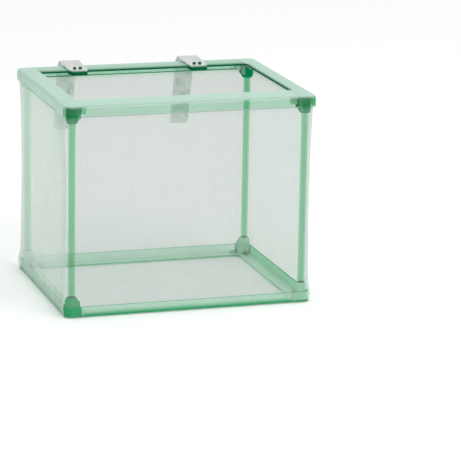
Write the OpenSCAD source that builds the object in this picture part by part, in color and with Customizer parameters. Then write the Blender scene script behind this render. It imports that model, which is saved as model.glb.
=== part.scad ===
// Net breeding box for a fish tank: a green angle frame pegged together at
// eight moulded corners, a fine net bag drawn over it, and two steel hangers
// that hook over the tank's wall.
// +X runs along the long side, +Y points to the tank wall, +Z is up, and the
// origin is the centre of the face that the box stands on.

/* [Overall size] */
// Outer length of the top frame, along X
top_l = 165; // [150:1:200]
// Outer depth of the top frame, along Y
top_d = 132; // [120:1:160]
// Height from the underside of the net to the top of the rails
box_h = 136; // [100:1:170]

/* [Rails] */
// Wall thickness of the angle rails and corner caps
rail_wall = 1.2; // [0.8:0.1:1.6]
// Width of the flat top of the front and back top rails
top_flange_long = 20; // [13.5:0.5:26]
// Width of the flat top of the left and right top rails
top_flange_short = 12; // [10:0.5:18]
// Height of the outer wall of the top rails
top_skirt_h = 7.4; // [6.5:0.1:11]
// Width of the flat foot of the bottom rails
bottom_flange = 10; // [6:0.5:16]
// Height of the outer wall of the bottom rails
bottom_skirt_h = 6.4; // [4:0.1:11]
// Parting line between a rail's end and its corner
seam = 0.1; // [0.05:0.05:0.3]

/* [Corners] */
// Outer corner radius of the top frame in plan
top_corner_r = 4.5; // [3.2:0.1:5.5]
// Outer corner radius of the bottom frame in plan
bottom_corner_r = 3.6; // [2.6:0.1:5]
// Length of each arm of a bottom corner
bottom_arm = 11.5; // [10.5:0.5:18]
// Side of the square socket block that holds a post
block_side = 8.6; // [7.8:0.1:9]
// Height of the socket block
block_h = 7.6; // [5:0.1:12]
// Least length of arm that shows past the socket block
block_margin = 0.3; // [0.2:0.1:1]
// Height of the tapered collar round the post
collar_h = 3.2; // [2:0.1:6]
// Wall of the collar at its open end
collar_tip_wall = 0.6; // [0.4:0.1:0.8]
// Ledge left on the block inside the collar's foot
collar_ledge = 0.3; // [0.2:0.1:1]
// Solid floor of the socket behind the post's end
socket_floor = 1.6; // [0.8:0.1:3]
// Wall between the socket and the block's outer face
socket_wall = 0.9; // [0.7:0.1:1.2]

/* [Tongues] */
// Length of tongue that grips inside a rail
grip_l = 3.2; // [2:0.1:6]
// Width of a tongue
tongue_w = 3.4; // [2:0.1:4.5]
// Thickness of a tongue
tongue_h = 2.2; // [1.2:0.1:3]
// Width of the gripping pad on the top tongues of the long rails
pad_w = 5; // [4.6:0.1:6]
// Height of that pad
pad_h = 5; // [3.4:0.1:5.2]

/* [Posts] */
// Diameter of a post
post_d = 4.7; // [4.2:0.1:5]
// Radial clearance of a post in its socket
post_fit = 0.05; // [0.02:0.01:0.1]
// Air left beyond each end of a post
post_end_gap = 0.2; // [0.1:0.1:0.6]

/* [Net bag] */
// Thickness of the netting
net_t = 0.4; // [0.3:0.1:0.6]
// Air between the netting and the frame
net_gap = 0.15; // [0.1:0.05:0.3]
// Height of the elastic hem tape
hem_h = 4; // [3:0.1:5]
// Thickness of the elastic hem tape
hem_t = 0.8; // [0.4:0.1:0.9]
// Air between the hem and the top rail's flat
hem_drop = 0.5; // [0.2:0.1:0.8]

/* [Hangers] */
// Distance of the left hanger from the middle of the back rail
hanger_left_x = 45; // [25:0.5:48]
// Distance of the right hanger from the middle of the back rail
hanger_right_x = 37; // [25:0.5:48]
// Width of the steel strip
strip_w = 12.7; // [10:0.1:16]
// Thickness of the steel strip
strip_t = 1; // [0.8:0.1:1.4]
// Length of strip that lies flat on the rail
flat_run = 9; // [7:0.1:12]
// Length of strip that rises over the rail's edge
rise_run = 15.6; // [13:0.1:24]
// Angle by which it rises
rise_angle = 5; // [4:1:12]
// Inside radius of the bend that turns up
rise_bend_r = 12; // [6:0.5:16]
// Inside radius of the crown over the tank wall
crown_r = 9; // [7:0.5:12]
// Angle by which the leg splays away from the box
leg_splay = 14; // [6:1:20]
// Length of the straight leg
leg_run = 44; // [30:0.1:60]
// Corner radius of the strip's two ends
strip_corner_r = 3; // [1:0.1:4]
// Air between the strip and the rail
seat_gap = 0.05; // [0.05:0.05:0.2]

/* [Hanger lugs] */
// How far a lug stands in from the back rail's flat
lug_reach = 5; // [4:0.5:8]
// Width of a lug at the rail
lug_root_w = 12.6; // [12:0.1:20]
// Width of a lug at its tip
lug_tip_w = 10; // [8.5:0.1:12]
// Thickness of a lug
lug_h = 2.2; // [1.8:0.1:3.5]
// Length of the lug's root under the rail's flat
lug_root_l = 3; // [2:0.5:4]
// Strip that laps over the lug past the rail's inner edge
strip_overlap = 3.3; // [2.5:0.1:4]
// Diameter of a peg on the back rail
peg_d = 2.3; // [1.5:0.1:2.4]
// Centre distance of a hanger's two pegs
peg_pitch = 3.8; // [3.5:0.1:5]
// How far the pegs stand in from the strip's front end
peg_inset = 5.5; // [4:0.1:7]
// Radial clearance of a peg in its hole
peg_fit = 0.1; // [0.05:0.05:0.2]
// Height of a peg above the strip
peg_proud = 0.9; // [0.2:0.1:1]

/* [Hidden] */

// Facets of the round parts
$fn = 48;
// Overlap that joins two solids, or carries a cut past a face
eps = 0.5;

rail_green = [0.56, 0.82, 0.72, 0.7];
corner_green = [0.02, 0.58, 0.36, 0.9];
post_green = [0.40, 0.74, 0.60, 0.8];
net_white = [0.88, 0.92, 0.90, 0.35];
hem_white = [0.94, 0.95, 0.94];
steel_grey = [0.72, 0.73, 0.74];

// The net hangs just inside the top frame's outer walls, and the bottom
// frame fits just inside the net
net_half_x = top_l / 2 - rail_wall - net_gap;
net_half_y = top_d / 2 - rail_wall - net_gap;
net_corner_r = bottom_corner_r + net_gap + net_t;
bottom_half_x = net_half_x - net_t - net_gap;
bottom_half_y = net_half_y - net_t - net_gap;
bottom_z = net_t + net_gap;
hem_top_z = box_h - rail_wall - hem_drop;

// One post line serves the top and the bottom corners
block_half_x = bottom_half_x - rail_wall;
block_half_y = bottom_half_y - rail_wall;
block_inset_top = top_l / 2 - block_half_x;
block_inset_bottom = rail_wall;
bore_r = post_d / 2 + post_fit;
post_inset = socket_wall + bore_r;
block_edge_r = bottom_corner_r - rail_wall;
top_arm_x = arm_length(top_flange_short, block_inset_top);
top_arm_y = arm_length(top_flange_long, block_inset_top);
bottom_arm_xy = arm_length(bottom_arm, block_inset_bottom);
post_x = block_half_x - post_inset;
post_y = block_half_y - post_inset;
post_z0 = bottom_z + rail_wall + socket_floor + post_end_gap;
post_z1 = box_h - rail_wall - socket_floor - post_end_gap;

hanger_y = top_d / 2 - top_flange_long - strip_overlap;
hanger_z = box_h + seat_gap;
peg_y = hanger_y + peg_inset;
hole_r = peg_d / 2 + peg_fit;

// The hanger's side view, as [distance from its front end, height]: angles
// are taken from straight up and turn towards the tank wall
rise_centre = [flat_run, strip_t + rise_bend_r];
rise_from = 180;
rise_to = 180 - rise_angle;
crown_from = -rise_angle;
crown_to = 90 - leg_splay;
rise_steps = 3;
crown_steps = 24;
crown_centre = side_point(rise_centre, rise_bend_r + strip_t, rise_to)
    + rise_run * [cos(rise_angle), sin(rise_angle)]
    - crown_r * [-sin(rise_angle), cos(rise_angle)];
leg_end = side_point(crown_centre, crown_r, crown_to)
    + leg_run * [sin(leg_splay), -cos(leg_splay)];

// Point on a circle in the hanger's side view
function side_point(centre, radius, angle) =
    centre + radius * [sin(angle), cos(angle)];

// Points along a bend, from one angle to the other
function bend_points(centre, radius, from, to, steps) = [
    for (i = [0:steps])
        side_point(centre, radius, from + (to - from) * i / steps)
];

// An arm is as long as wanted, and never shorter than the socket block needs
function arm_length(wanted, block_inset) =
    max(wanted, block_inset + block_side + block_margin);

// Slab in the first quadrant with one rounded corner at the origin
module corner_slab(len_x, len_y, corner_r, height) {
    translate([corner_r, 0, 0])
        cube([len_x - corner_r, len_y, height]);
    translate([0, corner_r, 0])
        cube([len_x, len_y - corner_r, height]);
    translate([corner_r, corner_r, 0])
        cylinder(r = corner_r, h = height);
}

// Square block with rounded upright edges, its corner at the origin
module soft_block(side, edge_r, height) {
    translate([edge_r, 0, 0])
        cube([side - 2 * edge_r, side, height]);
    translate([0, edge_r, 0])
        cube([side, side - 2 * edge_r, height]);
    for (x = [edge_r, side - edge_r], y = [edge_r, side - edge_r])
        translate([x, y, 0])
            cylinder(r = edge_r, h = height);
}

// Angle rail along X: the flat at z = 0 and the wall rising on the -Y side
module angle_rail(length, flange, skirt) {
    translate([-length / 2, 0, 0])
        cube([length, flange, rail_wall]);
    translate([-length / 2, 0, 0])
        cube([length, rail_wall, skirt]);
}

// Moulded corner: its outer corner at the origin, its arms along +X and +Y,
// its flat at z = 0 and everything else rising from it. A top corner is drawn
// the same way and turned upside down.
module frame_corner(arm_x, arm_y, skirt, corner_r, block_inset, has_pad) {
    block_mid = block_inset + block_side / 2;
    block_end = block_inset + block_side;
    axis_at = block_inset + post_inset;
    difference() {
        union() {
            corner_slab(arm_x, arm_y, corner_r, rail_wall);
            difference() {
                corner_slab(arm_x, arm_y, corner_r, skirt);
                translate([rail_wall, rail_wall, -eps])
                    corner_slab(arm_x, arm_y, corner_r - rail_wall, skirt + 2 * eps);
            }
            translate([block_inset, block_inset, 0])
                soft_block(block_side, block_edge_r, rail_wall + block_h);
            intersection() {
                translate([axis_at, axis_at, rail_wall + block_h])
                    cylinder(r1 = block_side - post_inset - collar_ledge,
                             r2 = bore_r + collar_tip_wall, h = collar_h);
                translate([block_inset, block_inset, 0])
                    soft_block(block_side, block_edge_r, rail_wall + block_h + collar_h);
            }
            long_tongue(block_mid, block_end, arm_x, has_pad);
            short_tongue(block_mid, block_end, arm_y);
        }
        translate([axis_at, axis_at, rail_wall + socket_floor])
            cylinder(r = bore_r, h = block_h + collar_h);
    }
}

// Tongue along X inside a long rail, which at the top ends in a tall pad
module long_tongue(mid, start, arm, has_pad) {
    translate([start - eps, mid - tongue_w / 2, rail_wall])
        cube([arm + grip_l - start + eps, tongue_w, tongue_h]);
    if (has_pad)
        translate([arm + seam, mid - pad_w / 2, rail_wall])
            cube([grip_l - seam, pad_w, pad_h]);
}

// Plain tongue along Y inside a short rail
module short_tongue(mid, start, arm) {
    translate([mid - tongue_w / 2, start - eps, rail_wall])
        cube([tongue_w, arm + grip_l - start + eps, tongue_h]);
}

// Puts a piece drawn at the origin on one of the box's four corners, with
// its arms turned inward
module at_corner(side_x, side_y, half_x, half_y) {
    translate([side_x * half_x, side_y * half_y, 0])
        mirror([side_x > 0 ? 1 : 0, 0, 0])
            mirror([0, side_y > 0 ? 1 : 0, 0])
                children();
}

module top_corner(side_x, side_y) {
    color(corner_green)
        translate([0, 0, box_h])
            mirror([0, 0, 1])
                at_corner(side_x, side_y, top_l / 2, top_d / 2)
                    frame_corner(top_arm_x, top_arm_y, top_skirt_h,
                                 top_corner_r, block_inset_top, true);
}

module bottom_corner(side_x, side_y) {
    color(corner_green)
        translate([0, 0, bottom_z])
            at_corner(side_x, side_y, bottom_half_x, bottom_half_y)
                frame_corner(bottom_arm_xy, bottom_arm_xy, bottom_skirt_h,
                             bottom_corner_r, block_inset_bottom, false);
}

// Long top rail, drawn at the front and mirrored to the back
module top_long_rail() {
    translate([0, -top_d / 2, box_h])
        mirror([0, 0, 1])
            angle_rail(top_l - 2 * (top_arm_x + seam), top_flange_long, top_skirt_h);
}

module top_rail_front() {
    color(rail_green)
        top_long_rail();
}

module top_rail_back() {
    color(rail_green) {
        union() {
            mirror([0, 1, 0])
                top_long_rail();
            for (x = [-hanger_left_x, hanger_right_x])
                translate([x, 0, 0])
                    hanger_lug();
        }
    }
}

// Tapered lug on the back rail's inner edge, with the two pegs that locate
// a hanger
module hanger_lug() {
    root_y = top_d / 2 - top_flange_long;
    translate([0, 0, box_h - lug_h])
        linear_extrude(height = lug_h)
            polygon([
                [-lug_root_w / 2, root_y + lug_root_l],
                [-lug_root_w / 2, root_y],
                [-lug_tip_w / 2, root_y - lug_reach],
                [lug_tip_w / 2, root_y - lug_reach],
                [lug_root_w / 2, root_y],
                [lug_root_w / 2, root_y + lug_root_l]
            ]);
    for (side = [-1, 1])
        translate([side * peg_pitch / 2, peg_y, box_h - eps])
            cylinder(d = peg_d, h = eps + seat_gap + strip_t + peg_proud);
}

// Short top rail, on the left for side -1 and on the right for side 1
module top_short_rail(side) {
    color(rail_green)
        translate([side * top_l / 2, 0, box_h])
            mirror([0, 0, 1])
                rotate([0, 0, side * 90])
                    angle_rail(top_d - 2 * (top_arm_y + seam), top_flange_short,
                               top_skirt_h);
}

// Long bottom rail, at the front for side -1 and at the back for side 1
module bottom_long_rail(side) {
    color(rail_green)
        mirror([0, side > 0 ? 1 : 0, 0])
            translate([0, -bottom_half_y, bottom_z])
                angle_rail(2 * (bottom_half_x - bottom_arm_xy - seam), bottom_flange,
                           bottom_skirt_h);
}

// Short bottom rail, on the left for side -1 and on the right for side 1
module bottom_short_rail(side) {
    color(rail_green)
        translate([side * bottom_half_x, 0, bottom_z])
            rotate([0, 0, side * 90])
                angle_rail(2 * (bottom_half_y - bottom_arm_xy - seam), bottom_flange,
                           bottom_skirt_h);
}

module post(side_x, side_y) {
    color(post_green)
        translate([side_x * post_x, side_y * post_y, post_z0])
            cylinder(d = post_d, h = post_z1 - post_z0);
}

// Flat net wall along X, at the front for side -1 and at the back for side 1
module net_long_wall(side) {
    color(net_white)
        translate([-net_half_x + net_corner_r, side > 0 ? net_half_y - net_t : -net_half_y, 0])
            cube([2 * (net_half_x - net_corner_r), net_t, hem_top_z]);
}

// Quarter-round net corner that carries a side wall round to a long wall
module net_turn(height) {
    difference() {
        intersection() {
            cylinder(r = net_corner_r, h = height);
            translate([0, 0, -eps])
                cube([net_corner_r + eps, net_corner_r + eps, height + 2 * eps]);
        }
        translate([0, 0, -eps])
            cylinder(r = net_corner_r - net_t, h = height + 2 * eps);
    }
}

// Net side wall with its two rounded corners, on the left for side -1 and
// on the right for side 1
module net_side_wall(side) {
    mid_x = net_half_x - net_corner_r;
    mid_y = net_half_y - net_corner_r;
    color(net_white)
        mirror([side < 0 ? 1 : 0, 0, 0]) {
            translate([net_half_x - net_t, -mid_y, 0])
                cube([net_t, 2 * mid_y, hem_top_z]);
            for (end = [0, 1])
                mirror([0, end, 0])
                    translate([mid_x, mid_y, 0])
                        net_turn(hem_top_z);
        }
}

// Rounded rectangle centred on the origin
module round_plate(half_x, half_y, corner_r, height) {
    translate([-half_x + corner_r, -half_y, 0])
        cube([2 * (half_x - corner_r), 2 * half_y, height]);
    translate([-half_x, -half_y + corner_r, 0])
        cube([2 * half_x, 2 * (half_y - corner_r), height]);
    for (x = [-1, 1], y = [-1, 1])
        translate([x * (half_x - corner_r), y * (half_y - corner_r), 0])
            cylinder(r = corner_r, h = height);
}

module net_floor() {
    color(net_white)
        round_plate(net_half_x - net_t, net_half_y - net_t, net_corner_r - net_t, net_t);
}

// Elastic tape sewn inside the net's top edge
module net_hem() {
    color(hem_white)
        translate([0, 0, hem_top_z - hem_h])
            difference() {
                round_plate(net_half_x - net_t, net_half_y - net_t,
                            net_corner_r - net_t, hem_h);
                translate([0, 0, -eps])
                    round_plate(net_half_x - net_t - hem_t, net_half_y - net_t - hem_t,
                                net_corner_r - net_t - hem_t, hem_h + 2 * eps);
            }
}

// Side view of the hanger: out along its underside and back along its top
module hanger_outline() {
    polygon(concat(
        [[0, 0]],
        bend_points(rise_centre, rise_bend_r + strip_t, rise_from, rise_to, rise_steps),
        bend_points(crown_centre, crown_r, crown_from, crown_to, crown_steps),
        [leg_end],
        [leg_end + strip_t * [cos(leg_splay), sin(leg_splay)]],
        bend_points(crown_centre, crown_r + strip_t, crown_to, crown_from, crown_steps),
        bend_points(rise_centre, rise_bend_r, rise_to, rise_from, rise_steps),
        [[0, strip_t]]
    ));
}

// Cutter for one rounded corner of a strip's end, its sharp corner at the
// origin and the strip in the first quadrant
module corner_cutter() {
    difference() {
        translate([-eps, -eps, -eps])
            cube([strip_corner_r + eps, strip_corner_r + eps, strip_t + 2 * eps]);
        translate([strip_corner_r, strip_corner_r, -2 * eps])
            cylinder(r = strip_corner_r, h = strip_t + 4 * eps);
    }
}

// Both corner cutters of a strip's end that lies at y = 0 and faces -Y
module end_cutters() {
    for (side = [0, 1])
        mirror([side, 0, 0])
            translate([-strip_w / 2, 0, 0])
                corner_cutter();
}

// Steel hanger in its own place: the front end at the origin, the flat run
// along +Y, then the rise, the crown over the tank wall and the leg
module hanger_strip() {
    difference() {
        rotate([90, 0, 90])
            translate([0, 0, -strip_w / 2])
                linear_extrude(height = strip_w)
                    hanger_outline();
        end_cutters();
        translate([0, leg_end[0], leg_end[1]])
            rotate([90 - leg_splay, 0, 0])
                rotate([0, 180, 0])
                    translate([0, 0, -strip_t])
                        end_cutters();
        for (hole = [-1, 1])
            translate([hole * peg_pitch / 2, peg_inset, -eps])
                cylinder(r = hole_r, h = strip_t + 2 * eps);
    }
}

// Steel hanger on the back rail, at its distance along X
module hanger(x) {
    color(steel_grey)
        translate([x, hanger_y, hanger_z])
            hanger_strip();
}

top_rail_front();
top_rail_back();
top_short_rail(-1);  // top_rail_left
top_short_rail(1);  // top_rail_right
bottom_long_rail(-1);  // bottom_rail_front
bottom_long_rail(1);  // bottom_rail_back
bottom_short_rail(-1);  // bottom_rail_left
bottom_short_rail(1);  // bottom_rail_right
post(-1, -1);  // post_front_left
post(1, -1);  // post_front_right
post(-1, 1);  // post_back_left
post(1, 1);  // post_back_right
top_corner(-1, -1);  // top_corner_front_left
top_corner(1, -1);  // top_corner_front_right
top_corner(-1, 1);  // top_corner_back_left
top_corner(1, 1);  // top_corner_back_right
bottom_corner(-1, -1);  // bottom_corner_front_left
bottom_corner(1, -1);  // bottom_corner_front_right
bottom_corner(-1, 1);  // bottom_corner_back_left
bottom_corner(1, 1);  // bottom_corner_back_right
net_long_wall(-1);  // net_front
net_long_wall(1);  // net_back
net_side_wall(-1);  // net_left
net_side_wall(1);  // net_right
net_floor();
net_hem();
hanger(-hanger_left_x);  // hanger_left
hanger(hanger_right_x);  // hanger_right
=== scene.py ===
"""Looks of a net breeding box for a fish tank: translucent green rails, corners
and posts, a fine net bag drawn over them, and two brushed steel hangers."""
from math import ceil, cos, exp, pi, radians, sin

import bmesh
import bpy
from mathutils import Matrix, Vector, noise


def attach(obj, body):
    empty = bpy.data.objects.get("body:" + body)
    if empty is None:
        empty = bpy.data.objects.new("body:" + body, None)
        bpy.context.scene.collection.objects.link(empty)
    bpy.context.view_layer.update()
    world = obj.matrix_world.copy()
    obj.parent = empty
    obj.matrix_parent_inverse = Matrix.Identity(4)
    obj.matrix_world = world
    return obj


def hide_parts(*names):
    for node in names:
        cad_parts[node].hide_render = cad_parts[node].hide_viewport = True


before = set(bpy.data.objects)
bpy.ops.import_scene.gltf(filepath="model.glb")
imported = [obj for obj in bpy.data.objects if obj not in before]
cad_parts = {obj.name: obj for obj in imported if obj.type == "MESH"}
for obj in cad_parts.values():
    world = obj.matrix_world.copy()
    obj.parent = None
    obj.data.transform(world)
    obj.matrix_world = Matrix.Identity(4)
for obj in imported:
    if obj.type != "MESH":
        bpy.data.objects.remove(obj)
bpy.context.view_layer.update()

bl_info = {
    "name": "Net Breeding Box",
    "version": (1, 0, 0),
    "blender": (4, 5, 0),
    "location": "3D View > Sidebar > Breeding Box",
    "description": "Dresses the packed frame of a net breeding box",
    "category": "Object",
}

MM = 0.001

CORNERS = ("front_left", "front_right", "back_left", "back_right")

# Two solids that touch in the CAD are drawn a hair apart, as real ones are
TOUCH_GAP = 0.015 * MM
MERGE_DISTANCE = 0.001 * MM
FLAT_ANGLE = radians(0.5)
SHARP_ANGLE = radians(50)

# Sizes of the CAD from here on, in mm. The top frame: its outline in plan, its
# face, a level just under its flats, and the lower edge of its skirts
TOP_HALF_X = 82.5
TOP_HALF_Y = 66.0
TOP_CORNER_R = 4.5
TOP_Z = 136.0
UNDER_FLATS = 134.7
SKIRT_FOOT = 128.6
# A rail's wall, and the width and length that tell the edges of its sheet from
# its other faces
WALL = 1.2
EDGE_T = 1.35
EDGE_LENGTH = 3.0
# Widths of the back and the side flats, the line where the lugs leave the back
# flat, and the one up to which they reach under it
BACK_FLAT = 20.0
SIDE_FLAT = 12.0
LUG_ROOT_Y = 45.95
LUG_REACH_Y = 60.0
# The bottom frame: its outline, the top of its walls and of its flats
BOTTOM_HALF_X = 80.6
BOTTOM_HALF_Y = 64.1
BOTTOM_WALL_TOP = 6.95
BOTTOM_FLAT_TOP = 1.75
# Inner edges of the square socket blocks, and the posts' axes
BLOCK_X = 70.6
BLOCK_Y = 54.1
POST_X = 76.1
POST_Y = 59.6
# The net's line, which is the middle of its thickness, its top and its bottom,
# and the height from which it hangs free of the bottom frame
NET_T = 0.4
NET_GAP = 0.15
NET_HALF_X = TOP_HALF_X - WALL - NET_GAP - NET_T / 2
NET_HALF_Y = TOP_HALF_Y - WALL - NET_GAP - NET_T / 2
NET_CORNER_R = 3.95
NET_TOP = 134.3
NET_BOTTOM = 0.28
RAIL_TOP = 7.0
# Width and height of the net's puffed bottom corners, the height of its low
# folds and how far up and down they reach, and its play behind the skirts
PUFF_W = 9.0
PUFF_Z = 6.0
PUFF_H = 4.5
FOLDS_Z = 13.0
FOLDS_H = 9.0
HEM_PLAY = 0.05
# Length of the net's faces along its line, in mm, and how many make a corner
NET_STEP = 3.0
TURN_STEPS = 6
# The hem's tape: its height, how far its two faces lie inside the net, and its
# ribs
HEM_H = 4.0
HEM_INNER = -0.68
HEM_OUTER = -0.06
HEM_RIBS = 4
RIB_H = 0.10
# The seam's bead: its radius, how far that swells with each turn of thread, one
# turn's length, and how far out and how high the bead lies
SEAM_R = 0.20
SEAM_SWELL = 0.06
SEAM_TURN = 1.6
SEAM_OUT = 0.12
SEAM_Z = 0.30
# How near to a plane a face counts as on it, and to an outline
ON_PLANE = 0.05
ON_OUTLINE = 0.1

# How much of the top frame's flats, its side walls and its tongues, and of the
# bottom frame is milky rather than clear
TOP_MILK = 0.8
SIDE_MILK = 0.6
TONGUE_MILK = 0.7
BOTTOM_MILK = 0.5
# Strip above the skirts' lower edge, and how deep it and the rounded outer
# edge look
FOOT_STRIP = 0.8
FOOT_DEEP = 0.5
ROUND_DEEP = 0.22
# Height below which the long bottom rails' outer walls get greener, and how
# deep they look at their foot
SHADE_TOP = 5.5
SHADE_DEEP = 0.95
# How deep and how milky each corner's block looks in the photograph, and the
# pad beside it
FULL_BLOCK = (1.0, 0.0)
# The corners are alike, so these blocks' differences are painted light and shade: some drawn paler
# and milkier, some deeper, by how light falls on each
PAINTED_BLOCK_SHADING = {
    "top_corner_back_left": (0.0, 0.7),
    "bottom_corner_front_left": FULL_BLOCK,
    "bottom_corner_front_right": (0.6, 0.4),
    "bottom_corner_back_left": (0.0, 0.6),
    "bottom_corner_back_right": (0.7, 0.3),
}
PAD_LOOK = (0.55, 0.25)
# How far from a post's axis a top block starts and stops to look paler
CORE_IN = 2.2
CORE_OUT = 4.4
# Strip of a flat along its inner edge that is painted as deep as the edge, by
# its rail, as painted light: the edge's green running into the back and the
# right flat. The axis across it, the strip's limit and its depth of colour
PAINTED_EDGE_LIGHT_STRIPS = {
    "top_rail_back": (1, 49.6, 0.6),
    "top_rail_right": (0, 72.2, 0.75),
}
# How strongly those flats' inner edges send their green back into them
BACK_GLOW = 0.9
SIDE_GLOW = 0.2
# Length and width of the plastic's flow lines along a rail or a post, and size
# of its uneven gloss, then both in a corner, in mm
FLOW_L = 40.0
FLOW_W = 1.11
GRAIN = 4.55
CORNER_FLOW = 3.33
CORNER_GRAIN = 3.125
# How dark a post's rim is painted, as shade for the dark edges of a clear rod,
# and how much gloss the coat gives
PAINTED_POST_RIM_SHADE = 0.3
COAT = 0.35
# Half a thread's width as drawn, as a share of the pitch
THREAD_SHARE = 0.28
# What is left of the net's cover behind the skirts and on the bottom frame, and
# how much the elastic tape hides
COVER_BEHIND_SKIRT = 0.05
COVER_ON_FRAME = 0.4
HEM_COVER = 0.03
# How much of the rails' green light the net under them shows, and how wide
# that light falls
SPILL = 0.4
SPILL_W = 4.0
# A wave texture has 20 radians of wave in one unit
WAVE_BAND = 2 * pi / 20
# Settings that several nodes have
TIMES = {"operation": "MULTIPLY"}
MINUS = {"operation": "SUBTRACT"}
LARGER = {"operation": "MAXIMUM"}
SMOOTH = {"interpolation_type": "SMOOTHSTEP"}
COLOURS = {"data_type": "RGBA"}
# What the camera and the lamp point at, in mm
CAMERA_TARGET = Vector((47.14, 0.0, 33.56))
LAMP_TARGET = Vector((0.0, 0.0, 60.0))


def to_linear(hex_colour):
    """Linear RGBA of an sRGB hex colour."""
    channels = [int(hex_colour[i:i + 2], 16) / 255 for i in (0, 2, 4)]
    linear = [
        c / 12.92 if c <= 0.04045 else ((c + 0.055) / 1.055) ** 2.4
        for c in channels
    ]
    return (*linear, 1.0)


def add_node(tree, kind, settings=None, inputs=None):
    """Adds a node. An input is a value, or a (node, output) pair to link."""
    node = tree.nodes.new(kind)
    for key, value in (settings or {}).items():
        setattr(node, key, value)
    for key, value in (inputs or {}).items():
        if isinstance(value, tuple) and isinstance(value[0], bpy.types.Node):
            tree.links.new(value[0].outputs[value[1]], node.inputs[key])
        else:
            node.inputs[key].default_value = value
    return node


def per_mm(size):
    """Scale of a pattern whose marks are this many mm apart."""
    return 1.0 / (size * MM)


def new_material(name):
    """Material without nodes, and its tree."""
    material = bpy.data.materials.new(name)
    material.use_nodes = True
    material.node_tree.nodes.clear()
    return material, material.node_tree


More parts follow.
